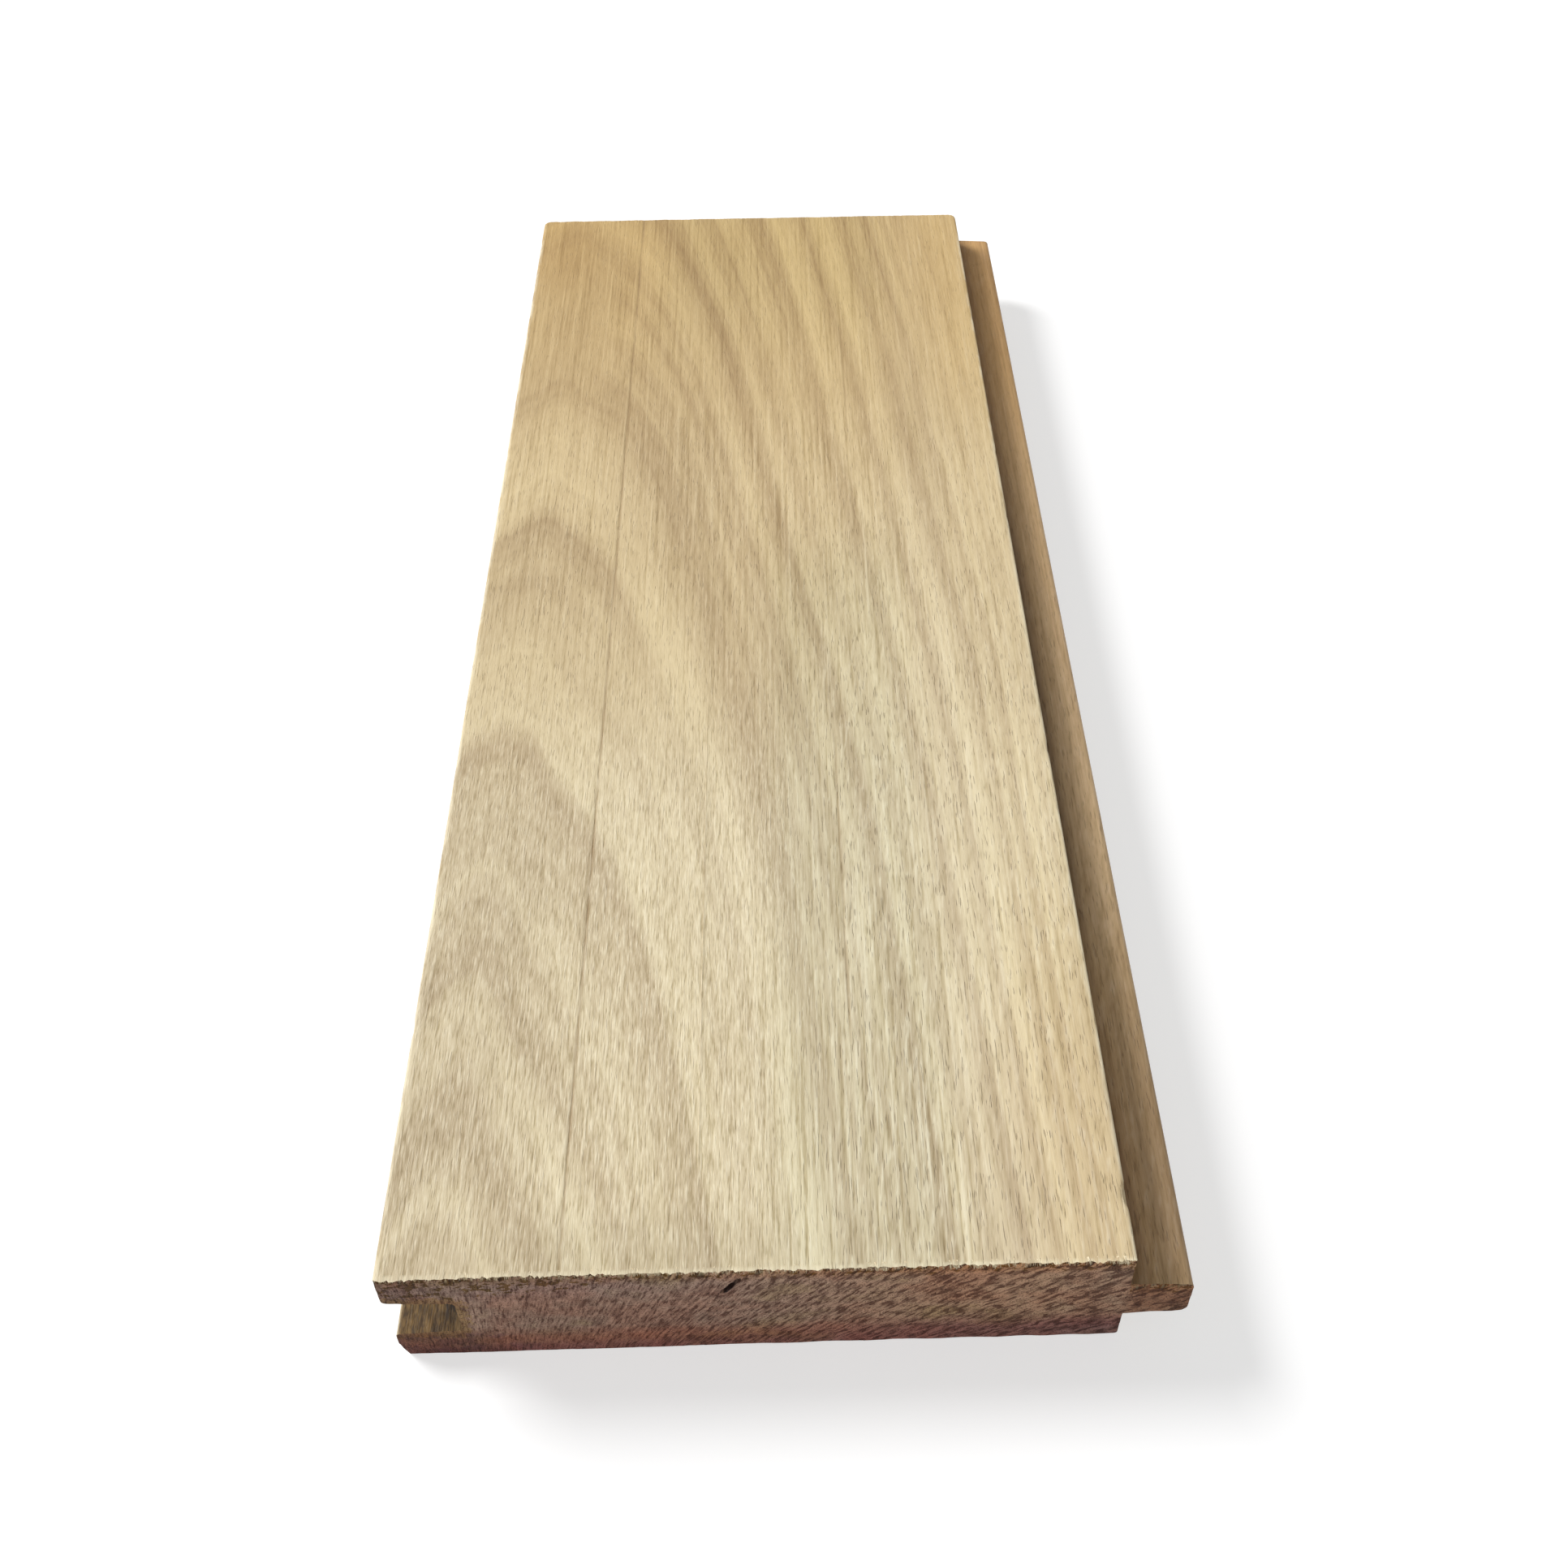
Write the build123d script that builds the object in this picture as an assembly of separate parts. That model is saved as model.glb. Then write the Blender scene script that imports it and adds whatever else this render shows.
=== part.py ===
from build123d import *
import os
from math import radians, tan

# Tongue-and-groove hardwood floorboard, one length of planed stock, sizes in millimetres.
# The board lies on its underside with its face up. X runs across it from the groove to the
# tongue, Y runs along the grain and Z is up. The origin is under the middle of the board.

# Board
BOARD_LENGTH = 250.0  # sawn square at both ends
FACE_WIDTH = 92.0  # what one board covers: upper lip to tongue shoulder
BOARD_THICKNESS = 20.0
ARRIS_RADIUS = 0.4  # the planed long edges are broken, not knife sharp

# Tongue, along the +X edge
TONGUE_LENGTH = 8.0  # shoulder to nose
TONGUE_ROOT = 7.8  # thickness at the shoulder
TONGUE_TAPER = 3.0  # degrees, on each cheek
TONGUE_NOSE_RADIUS = 0.9
TONGUE_HEIGHT = 9.6  # underside to the tongue's middle, low, so that more wood can wear away above it

# Groove, along the -X edge, cut to take the tongue of the next board
CHEEK_CLEARANCE = 0.15  # between a cheek of the tongue and a lip of the groove
NOSE_CLEARANCE = 0.8  # between the nose of the tongue and the bed of the groove
LOWER_LIP_SETBACK = 0.3  # the lower lip is short, so that the faces close first
LOWER_LIP_BEVEL_HEIGHT = 3.0  # up its outer side, to clear the subfloor while it is laid
LOWER_LIP_BEVEL_WIDTH = 0.9  # along the underside
LIP_EASING = 0.5  # radius on the two lips, where the tongue enters

# Where the section's upright lines stand
overall_width = FACE_WIDTH + TONGUE_LENGTH
lip_x = -overall_width / 2
shoulder_x = lip_x + FACE_WIDTH
nose_x = shoulder_x + TONGUE_LENGTH
lower_lip_x = lip_x + LOWER_LIP_SETBACK
groove_depth = TONGUE_LENGTH + NOSE_CLEARANCE
groove_bed_x = lip_x + groove_depth


def half_tongue(distance):
    """Half the tongue's thickness at a distance from its shoulder."""
    return TONGUE_ROOT / 2 - distance * tan(radians(TONGUE_TAPER))


def half_groove(distance):
    """Half the groove's width at a distance from the upper lip, where the next shoulder closes."""
    return half_tongue(distance) + CHEEK_CLEARANCE


def corners_at(section, points):
    """The section's own corner nearest to each point."""
    return [section.vertices().sort_by_distance((x, z, 0))[0] for x, z in points]


def cheeked_section(start_x, half_start, end_x, half_end):
    """A tapered section about the tongue's middle line, rounded at its far end."""
    ends = [
        (end_x, TONGUE_HEIGHT - half_end),
        (end_x, TONGUE_HEIGHT + half_end),
    ]
    starts = [
        (start_x, TONGUE_HEIGHT + half_start),
        (start_x, TONGUE_HEIGHT - half_start),
    ]
    outline = Polygon(*ends, *starts, align=None)
    return fillet(corners_at(outline, ends), min(TONGUE_NOSE_RADIUS, 0.9 * half_end))


def body_section():
    """The board without its edge joint: a plain rectangle, short and bevelled at the lower lip."""
    outline = Polygon(
        (lip_x, BOARD_THICKNESS),
        (lip_x, TONGUE_HEIGHT),
        (lower_lip_x, TONGUE_HEIGHT),
        (lower_lip_x, LOWER_LIP_BEVEL_HEIGHT),
        (lower_lip_x + LOWER_LIP_BEVEL_WIDTH, 0),
        (shoulder_x, 0),
        (shoulder_x, BOARD_THICKNESS),
        align=None,
    )
    arrises = [
        (lip_x, BOARD_THICKNESS),
        (shoulder_x, BOARD_THICKNESS),
        (shoulder_x, 0),
    ]
    return fillet(corners_at(outline, arrises), ARRIS_RADIUS)


def board_section():
    """The whole moulded section: body, tongue and groove, with eased lips."""
    tongue = cheeked_section(shoulder_x, half_tongue(0), nose_x, half_tongue(TONGUE_LENGTH))
    groove = cheeked_section(lip_x, half_groove(0), groove_bed_x, half_groove(groove_depth))
    section = body_section() + tongue - groove
    lips = [
        (lip_x, TONGUE_HEIGHT + half_groove(0)),
        (lower_lip_x, TONGUE_HEIGHT - half_groove(LOWER_LIP_SETBACK)),
    ]
    return fillet(corners_at(section, lips), LIP_EASING)


floorboard = extrude(Plane.XZ * board_section(), amount=BOARD_LENGTH / 2, both=True)

os.makedirs("parts", exist_ok=True)
export_step(floorboard, "parts/floorboard.step")

print("size", floorboard.bounding_box().size, "volume", round(floorboard.volume, 1))
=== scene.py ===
"""Dresses the tongue-and-groove floorboard: planed face, sawn ends, torn fibres and a plain studio."""

import math
import random

import bmesh
import bpy
from bpy.props import FloatProperty, FloatVectorProperty, IntProperty, PointerProperty
from mathutils import Matrix, Vector, noise


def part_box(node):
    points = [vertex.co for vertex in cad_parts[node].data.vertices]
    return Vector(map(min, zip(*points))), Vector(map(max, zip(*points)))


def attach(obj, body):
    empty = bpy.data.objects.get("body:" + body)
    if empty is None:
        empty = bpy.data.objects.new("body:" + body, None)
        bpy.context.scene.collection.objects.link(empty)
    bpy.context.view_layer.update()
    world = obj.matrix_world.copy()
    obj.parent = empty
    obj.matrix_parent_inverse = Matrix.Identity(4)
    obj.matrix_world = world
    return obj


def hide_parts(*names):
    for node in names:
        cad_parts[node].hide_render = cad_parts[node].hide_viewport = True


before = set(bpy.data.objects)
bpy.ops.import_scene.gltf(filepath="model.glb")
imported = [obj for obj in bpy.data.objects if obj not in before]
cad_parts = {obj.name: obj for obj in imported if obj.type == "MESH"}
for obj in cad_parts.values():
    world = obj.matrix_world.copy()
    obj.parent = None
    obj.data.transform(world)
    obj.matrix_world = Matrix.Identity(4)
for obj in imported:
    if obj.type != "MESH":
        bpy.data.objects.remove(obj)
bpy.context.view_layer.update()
BOARD_LOW, BOARD_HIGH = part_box("floorboard")

bl_info = {
    "name": "Hardwood Floorboard",
    "version": (1, 0, 0),
    "blender": (4, 5, 0),
    "location": "3D View > Sidebar > Floorboard",
    "description": "Builds a planed tongue-and-groove floorboard with its figure, sawn ends and studio",
    "category": "Add Mesh",
}

MM = 0.001

# Growth rings: how pale the timber is, from 0 for late wood to 1 for early wood, at distances from the
# pith in millimetres. Each ring darkens slowly outwards and ends in a sharp line.
INNER_RINGS = (
    (62.0, 0.30), (65.2, 0.42), (66.0, 0.72), (67.0, 0.12), (67.6, 0.56),
    (68.2, 0.74), (69.0, 0.14), (69.5, 0.50), (69.8, 0.32), (70.3, 0.64),
    (71.0, 0.42), (72.2, 0.30), (72.7, 0.18), (73.1, 0.72), (74.0, 0.70),
    (75.0, 0.58), (76.2, 0.66), (77.2, 0.54), (77.9, 0.80), (78.7, 0.86),
    (79.4, 0.70), (80.3, 0.46), (81.0, 0.22), (81.7, 0.18), (82.4, 0.44),
    (82.9, 0.28), (83.9, 0.58), (84.6, 0.22), (85.1, 0.50), (85.7, 0.26),
    (86.1, 0.50),
)
OUTER_RINGS = (
    (86.1, 0.50), (86.8, 0.74), (88.0, 0.32), (88.7, 0.08), (89.7, 0.64),
    (90.1, 0.73), (91.1, 0.40), (92.0, 0.50), (93.0, 0.72), (94.2, 0.54),
    (95.0, 0.34), (96.1, 0.22), (97.2, 0.82), (98.2, 0.68), (99.2, 0.58),
    (100.2, 0.24), (100.8, 0.52), (101.8, 0.86), (102.8, 0.78), (104.6, 0.34),
    (105.3, 0.24), (106.2, 0.62), (107.2, 0.46), (108.1, 0.26), (109.2, 0.78),
    (110.0, 0.50), (110.7, 0.66), (112.0, 0.44), (113.6, 0.64), (114.6, 0.44),
    (115.5, 0.62), (121.0, 0.50),
)

# Straight lines that nicked planer knives leave on the face: distance from the upper lip, where the
# line starts and ends from the near end, how far it stands up, all in millimetres, and how dark the painted
# shade along it is.
KNIFE_LINES = (
    (22.3, -8.0, 258.0, -0.06, 0.56),
    (38.8, 14.0, 96.0, 0.05, 0.16),
    (58.8, 33.0, 92.0, -0.05, 0.36),
    (58.8, 166.0, 184.0, -0.05, 0.28),
    (64.4, 4.0, 26.0, 0.05, 0.0),
    (64.4, 136.0, 154.0, -0.05, 0.34),
    (64.4, 168.0, 204.0, -0.05, 0.30),
)

# A drying check in the near end: its foot and head, half its width and its depth.
CHECK_FOOT = Vector((-8.2 * MM, 0.0, 14.1 * MM))
CHECK_HEAD = Vector((-6.1 * MM, 0.0, 17.4 * MM))
CHECK_HALF_WIDTH = 0.36 * MM
CHECK_DEPTH = 2.0 * MM

# Where the saw left tufts of torn fibres at the near end, in millimetres from the upper lip.
TUFTS = (61.0, 61.6, 70.2, 72.4, 74.8, 89.6, 90.3)

# Darker patches of the face. Each fades in over two stops, and out again over the next two if there are
# four: across the board from the upper lip, then along it from the near end, in millimetres. Then its tone.
FACE_PATCHES = (
    ((70.0, 50.0), (70.0, 105.0, 125.0, 170.0), (0.93, 0.90, 0.85)),  # the middle of the length
    ((28.0, 12.0), (110.0, 60.0), (0.90, 0.885, 0.875)),  # over the heart, at the near left
    ((44.0, 54.0, 66.0, 76.0), (150.0, 120.0), (0.945, 0.977, 0.99)),  # the flank of the rings
    ((20.0, 36.0, 68.0, 80.0), (172.0, 232.0), (0.92, 0.945, 0.975)),  # the middle of the far end
    ((70.0, 80.0), (48.0, 20.0), (0.94, 0.915, 0.91)),  # the near right
    # the far left patch is painted shade along the left edge
    ((17.0, 6.0), (212.0, 236.0), (0.945, 0.91, 0.86)),  # the far left
    ((12.0, 22.0, 40.0, 56.0), (12.0, 3.0), (0.88, 0.875, 0.865)),  # the brink of the near end
)

# Colours of the pale fibres in the face and of the painted highlights on its edges, of the painted shade
# along the knife lines, and of the torn fibres at the ends.
PALE_FIBRE_AND_HIGHLIGHT = (0.93, 0.84, 0.62)
KNIFE_SHADE = (0.26, 0.16, 0.07)
TORN_DARK = (0.62, 0.50, 0.31)
TORN_PALE = (0.84, 0.74, 0.53)

# Wear, in millimetres: how far late wood stands above early wood on the face, the saw marks' height and
# their pitch on the two ends, and how far from an end and below the face the saw tore and hollowed it.
GRAIN_RISE = 0.030
SAW_MARK = 0.045
NEAR_SAW_PITCH = 2.3
FAR_SAW_PITCH = 2.6
TEAR_LENGTH = 1.5
TEAR_DEPTH = 1.2
HOLLOW_DEPTH = 1.6

# A vertex nearer than this to a plane, in millimetres, lies on it.
TOUCH = 1e-4

# Faces that turn by more than this meet in a sharp edge.
SHARP_TURN = math.radians(32.0)


def in_mm(name, default, description):
    """A length, with its default in millimetres."""
    return FloatProperty(name=name, description=description, default=default * MM, unit="LENGTH")


def in_degrees(name, default, description):
    """An angle, with its default in degrees."""
    return FloatProperty(name=name, description=description, default=math.radians(default), subtype="ANGLE")


def tint(name, default, description):
    """A colour."""
    return FloatVectorProperty(
        name=name,
        description=description,
        default=default,
        subtype="COLOR",
        min=0.0,
        max=1.0,
    )


class FloorboardSizes(bpy.types.PropertyGroup):
    """Sizes of the board's section and of its worked surfaces."""

    tongue_length: in_mm("Tongue length", 8.0, "Shoulder to nose of the tongue")
    tongue_root: in_mm("Tongue root", 7.8, "Thickness of the tongue at its shoulder")
    tongue_taper: in_degrees("Tongue taper", 3.0, "Slope of each cheek of the tongue")
    tongue_height: in_mm("Tongue height", 9.6, "Underside to the middle of the tongue")
    nose_radius: in_mm("Nose radius", 0.9, "Rounding of the tongue's nose and of the groove's bed")
    cheek_clearance: in_mm(
        "Cheek clearance", 0.15, "Room between a cheek of the tongue and a lip of the groove"
    )
    nose_clearance: in_mm(
        "Nose clearance", 0.8, "Room between the nose of the tongue and the bed of the groove"
    )
    lip_setback: in_mm("Lower lip setback", 0.3, "How far the lower lip stands behind the upper lip")
    lip_bevel_height: in_mm(
        "Lower lip bevel height", 3.0, "Height of the bevel on the outer side of the lower lip"
    )
    lip_bevel_width: in_mm(
        "Lower lip bevel width", 0.9, "Width of the bevel along the underside of the lower lip"
    )
    lip_easing: in_mm("Lip easing", 0.5, "Rounding of the two lips where a tongue enters")
    arris: in_mm("Arris", 0.4, "Rounding of the planed long edges")
    near_trim: in_mm(
        "Near end trim", 0.9, "How far the sawn near end lies behind the tips of its torn fibres"
    )
    far_trim: in_mm(
        "Far end trim", 0.25, "How far the sawn far end lies behind the tips of its torn fibres"
    )
    mesh_pitch: in_mm("Mesh pitch", 0.90, "Width of the mesh's strips across the board")
    rows: IntProperty(
        name="Rows",
        description="Rows of the mesh along the board",
        default=220,
    )


class FloorboardFinish(bpy.types.PropertyGroup):
    """Place of the pith under the board, and the colours of the timber."""

    pith_across: in_mm("Pith across", 7.0, "Distance of the pith from the upper lip, across the board")
    pith_depth: in_mm("Pith depth", 65.0, "Depth of the pith under the face at the near end")
    pith_fall: FloatProperty(
        name="Pith fall",
        description="How much deeper the pith lies per unit of length towards the far end",
        default=0.086,
    )
    early_wood: tint(
        "Early wood", (0.85, 0.745, 0.50), "Colour of the pale part of a ring on the planed face"
    )
    late_wood: tint(
        "Late wood", (0.535, 0.425, 0.27), "Colour of the dark part of a ring on the planed face"
    )
    far_tone: tint("Far tone", (0.80, 0.65, 0.425), "Tone by which the timber deepens towards the far end")
    end_pale: tint("End grain, pale", (0.52, 0.345, 0.255), "Colour of the pale fibres of the sawn ends")
    end_dark: tint("End grain, dark", (0.13, 0.067, 0.046), "Colour of the dark rays of the sawn ends")
    pore: tint("Pore", (0.20, 0.13, 0.065), "Colour of open pores")


class FloorboardStage(bpy.types.PropertyGroup):
    """The studio: floor, light and camera."""

    camera_place: FloatVectorProperty(
        name="Camera place",
        description="Where the camera stands",
        default=(0.39 * MM, -213.26 * MM, 206.20 * MM),
        subtype="TRANSLATION",
    )
    camera_elevation: in_degrees("Camera elevation", 46.547, "How steeply the camera looks down")
    camera_heading: in_degrees("Camera heading", -0.842, "Turn of the camera about the upright")
    camera_roll: in_degrees("Camera roll", -0.629, "Tilt of the camera about its own line of sight")
    camera_lens: FloatProperty(
        name="Camera lens",
        description="Focal length on a 36 mm sensor",
        default=37.601,
        unit="CAMERA",
    )
    camera_shift: FloatVectorProperty(
        name="Camera shift",
        description="Shift of the picture across the sensor, in widths of the frame",
        default=(-0.0086, -0.0282),
        size=2,
    )
    key_strength: FloatProperty(
        name="Key light",
        description="Strength of the low light from behind the groove",
        default=3.55,
    )
    key_towards: FloatVectorProperty(
        name="Key direction",
        description="Direction from the board to the key light",
        default=(-1.5, 0.9, 1.4),
        subtype="DIRECTION",
    )
    fill_strength: FloatProperty(
        name="Fill light",
        description="Strength of the very soft light from the camera's side",
        default=0.75,
    )
    sky_strength: FloatProperty(
        name="Sky",
        description="Strength of the even light from all round",
        default=0.25,
    )
    floor_tone: tint("Floor", (0.52, 0.52, 0.52), "Colour of the floor as the camera sees it")


class Tree:
    """Short calls for building one node tree."""

    def __init__(self, tree):
        self.tree = tree
        tree.nodes.clear()

    def add(self, kind, **settings):
        made = self.tree.nodes.new(kind)
        for name, value in settings.items():
            setattr(made, name, value)
        return made

    def feed(self, socket, value):
        if isinstance(value, bpy.types.NodeSocket):
            self.tree.links.new(value, socket)
        elif socket.type == "RGBA":
            socket.default_value = (*value, 1.0)
        else:
            socket.default_value = value

    def feed_all(self, made, values):
        for socket, value in zip(made.inputs, values):
            self.feed(socket, value)
        return made.outputs[0]

    def maths(self, operation, *values, clamp=False):
        return self.feed_all(self.add("ShaderNodeMath", operation=operation, use_clamp=clamp), values)

    def times(self, value, *others):
        for other in others:
            value = self.maths("MULTIPLY", value, other)
        return value

    def plus(self, value, *others):
        for other in others:
            value = self.maths("ADD", value, other)
        return value

    def less(self, value, other):
        return self.maths("SUBTRACT", value, other)

    def times_plus(self, value, factor, addend):
        return self.maths("MULTIPLY_ADD", value, factor, addend)

    def swing(self, grain, width):
        """A grain, from 0 to 1, as a swing about 0."""
        return self.times_plus(grain, width, -width / 2)

    def size(self, value):
        """A value without its sign."""
        return self.maths("ABSOLUTE", value)

    def beyond(self, value, edge):
        """How far a value is past an edge, or 0."""
        return self.maths("MAXIMUM", self.less(value, edge), 0.0)

    def vector(self, x, y, z):
        return self.feed_all(self.add("ShaderNodeCombineXYZ"), (x, y, z))

    def parts(self, vector):
        made = self.add("ShaderNodeSeparateXYZ")
        self.feed(made.inputs[0], vector)
        return made.outputs[0], made.outputs[1], made.outputs[2]

    def scaled(self, vector, factors):
        return self.feed_all(self.add("ShaderNodeVectorMath", operation="MULTIPLY"), (vector, factors))

    def grain(self, vector, detail=2.0, roughness=0.5):
        made = self.add("ShaderNodeTexNoise")
        self.feed(made.inputs["Vector"], vector)
        made.inputs["Scale"].default_value = 1.0
        made.inputs["Detail"].default_value = detail
        made.inputs["Roughness"].default_value = roughness
        return made.outputs[0]

    def span(self, value, low, high, start=0.0, end=1.0):
        """Goes smoothly from start to end while the value goes from low to high."""
        made = self.add("ShaderNodeMapRange", interpolation_type="SMOOTHSTEP")
        return self.feed_all(made, (value, low, high, start, end))

    def fade(self, value, *stops):
        """Rises from 0 to 1 over two stops, and falls again over the next two if there are four."""
        faded = self.span(value, stops[0], stops[1])
        if len(stops) == 4:
            faded = self.times(faded, self.span(value, stops[3], stops[2]))
        return faded

    def share(self, value, low, high):
        made = self.add("ShaderNodeMapRange", interpolation_type="LINEAR")
        return self.feed_all(made, (value, low, high))

    def mix(self, factor, a, b, blend_type="MIX"):
        made = self.add("ShaderNodeMix", data_type="RGBA", blend_type=blend_type)
        self.feed(made.inputs[0], factor)
        self.feed(made.inputs[6], a)
        self.feed(made.inputs[7], b)
        return made.outputs[2]


def ring_ramp(t, ring_at, rings):
    """A colour ramp that holds one list of rings."""
    low, high = rings[0][0], rings[-1][0]
    ramp = t.add("ShaderNodeValToRGB")
    t.feed(ramp.inputs[0], t.share(ring_at, low, high))
    elements = ramp.color_ramp.elements
    while len(elements) < len(rings):
        elements.new(0.5)
    for element, (at, pale) in zip(elements, rings):
        element.position = (at - low) / (high - low)
        element.color = (pale, pale, pale, 1.0)
    return ramp.outputs[0]


FIGURE = ("Rings", "Rays", "Flecks", "Dashes", "Streaks", "Pores")


def wood_figure(finish):
    """A node group that turns a place in the board, in millimetres, into rings, rays and pores."""
    group = bpy.data.node_groups.new("Wood figure", "ShaderNodeTree")
    group.interface.new_socket("Place", in_out="INPUT", socket_type="NodeSocketVector")
    for name in FIGURE:
        group.interface.new_socket(name, in_out="OUTPUT", socket_type="NodeSocketFloat")
    t = Tree(group)
    place = t.add("NodeGroupInput").outputs[0]
    out = t.add("NodeGroupOutput")
    x, y, z = t.parts(place)

    # The pith lies under the board and falls away towards the far end.
    along = t.less(y, BOARD_LOW[1] / MM)
    across = t.less(x, (BOARD_LOW[0] + finish.pith_across) / MM)
    aside = t.size(across)
    depth = t.plus(z, (finish.pith_depth - BOARD_HIGH[2]) / MM)
    depth = t.times_plus(along, finish.pith_fall, depth)
    radius = t.maths("SQRT", t.times_plus(depth, depth, t.times(across, across)))
    angle = t.maths("ARCTAN2", across, depth)

    # Near the butt of the log the rings bend outwards and the outer ones close up.
    bend = t.times(t.beyond(across, 18.0), t.span(along, 180.0, 40.0, 0.0, 0.045))
    ring_at = t.less(radius, bend)
    close = t.times(t.beyond(ring_at, 92.5), t.span(along, 150.0, 10.0, 0.0, 0.62))

    # They wander a little and are jagged from fibre to fibre. Half way along, some draw in and some swell.
    wander = t.swing(t.grain(t.scaled(place, (0.045, 0.012, 0.045)), 2.0), 1.3)
    jag = t.swing(t.grain(t.scaled(place, (1.5, 0.10, 1.5)), 2.0, 0.6), 0.36)
    waist = t.times(t.span(radius, 86.0, 89.0), t.fade(along, 45.0, 75.0, 105.0, 135.0), -0.4)
    belly = t.times(t.span(radius, 100.0, 104.0), t.fade(along, 105.0, 135.0, 165.0, 195.0), 0.7)

    # The innermost crowns are pointed and the next ones flat. The far ones hang down at the left and have
    # a step at the right.
    pointed = t.span(aside, 1.0, 8.0)
    flat = t.span(across, 4.0, 10.0)
    peak = t.times_plus(t.less(pointed, flat), t.span(radius, 72.2, 71.2), flat)
    peak = t.times(peak, t.span(radius, 77.0, 74.0), t.span(across, 22.0, 14.0, 0.0, 0.45))
    scallop = t.times(t.fade(across, 3.0, 6.0, 9.0, 14.0), 0.2)
    scallop = t.plus(scallop, t.span(across, 2.0, -4.0, 0.05, 0.45))
    scallop = t.times(scallop, t.span(along, 120.0, 150.0))
    ring_at = t.plus(ring_at, close, wander, waist, belly, peak, scallop, jag)
    rings = t.mix(
        t.maths("GREATER_THAN", ring_at, INNER_RINGS[-1][0]),
        ring_ramp(t, ring_at, INNER_RINGS),
        ring_ramp(t, ring_at, OUTER_RINGS),
    )

    # Narrow years lie inside the rings that are set out.
    years = t.grain(t.vector(t.times(ring_at, 1.5), t.times(along, 0.012), 0.0), 2.0)
    fine = t.grain(t.vector(t.times(ring_at, 4.5), t.times(along, 0.02), 3.0), 1.0)
    rings = t.plus(rings, t.swing(years, 0.4), t.swing(fine, 0.5))

    # Darker in places: the edge of the middle crown, the wood inside it, and a band near the butt.
    hook = t.times(
        t.fade(ring_at, 75.9, 77.1, 77.15, 77.45),
        t.span(aside, 26.0, 12.0, 0.0, -0.26),
        t.span(along, 110.0, 140.0, 1.0, 0.3),
    )
    inside = t.times(
        t.fade(ring_at, 74.6, 75.6, 77.2, 77.6),
        t.span(aside, 22.0, 12.0, 0.0, -0.2),
        t.span(along, 110.0, 130.0),
    )
    notch = t.times(t.fade(ring_at, 85.9, 86.6, 88.8, 89.2), t.span(along, 70.0, 25.0, 0.0, -0.22))
    rings = t.plus(rings, hook, inside, notch)

    # The wood beyond the far crown is even, and wide rings follow those that are set out.
    calm = t.times(t.fade(ring_at, 80.8, 81.7, 84.8, 86.0), t.span(aside, 14.0, 6.0, 0.0, 0.75))
    rings = t.times_plus(t.less(0.45, rings), calm, rings)
    outside = t.plus(t.span(ring_at, 66.0, 60.0), t.span(ring_at, 114.0, 121.0))
    wide = t.grain(t.vector(t.times(ring_at, 0.42), 7.0, 0.0), 1.0)
    wide = t.times(t.swing(wide, 1.8), outside)
    t.feed(out.inputs["Rings"], t.maths("ADD", rings, wide, clamp=True))

    # Rays stand radially: fine lines on the ends, short flecks along the grain on the face. Streaks and
    # pores run with the fibres, which dive under the face at the fall of the pith.
    radially = (t.times(angle, 80.0), radius, along)
    lengthways = (x, along, depth)
    for name, ways, sizes, detail, roughness in (
        ("Rays", radially, (0.80, 5.5, 5.0), 2.0, 0.55),
        ("Flecks", radially, (0.34, 2.4, 4.4), 2.0, 0.6),
        ("Dashes", radially, (0.55, 1.8, 5.0), 2.0, 0.5),
        ("Streaks", lengthways, (0.50, 90.0, 2.6), 3.0, 0.6),
        ("Pores", lengthways, (0.21, 22.0, 0.21), 1.0, 0.5),
    ):
        cell = [t.maths("DIVIDE", way, size) for way, size in zip(ways, sizes)]
        t.feed(out.inputs[name], t.grain(t.vector(*cell), detail, roughness))
    return group


def new_material(name):
    """An empty node material and the short calls for it."""
    material = bpy.data.materials.new(name)
    material.use_nodes = True
    return material, Tree(material.node_tree)


def place_in_mm(t):
    """The object's own coordinates in millimetres."""
    return t.scaled(t.add("ShaderNodeTexCoord").outputs["Object"], (1000.0, 1000.0, 1000.0))


def figure_of(t, group, place):
    """The wood figure's outputs at a place."""
    made = t.add("ShaderNodeGroup", node_tree=group)
    t.feed(made.inputs[0], place)
    return [made.outputs[name] for name in FIGURE]


def finish_surface(t, colour, roughness, height, relief, shine):
    """A matt wooden surface with a fine relief."""
    bump = t.add("ShaderNodeBump")
    bump.inputs["Strength"].default_value = 1.0
    bump.inputs["Distance"].default_value = relief
    t.feed(bump.inputs["Height"], height)
    shader = t.add("ShaderNodeBsdfPrincipled")
    t.feed(shader.inputs["Base Color"], colour)
    t.feed(shader.inputs["Roughness"], roughness)
    shader.inputs["Specular IOR Level"].default_value = shine
    t.feed(shader.inputs["Normal"], bump.outputs[0])
    t.feed(t.add("ShaderNodeOutputMaterial").inputs[0], shader.outputs[0])


class Coat:
    """The colour of a surface, laid on in turns."""

    def __init__(self, t, colour):
        self.t = t
        self.colour = colour

    def paint(self, factor, colour):
        """Takes the coat part of the way to a colour."""
        self.colour = self.t.mix(factor, self.colour, colour)

    def tone(self, factor, tone):
        """Takes the coat part of the way to itself times a tone."""
        self.paint(factor, self.t.mix(1.0, self.colour, tone, "MULTIPLY"))


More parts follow.
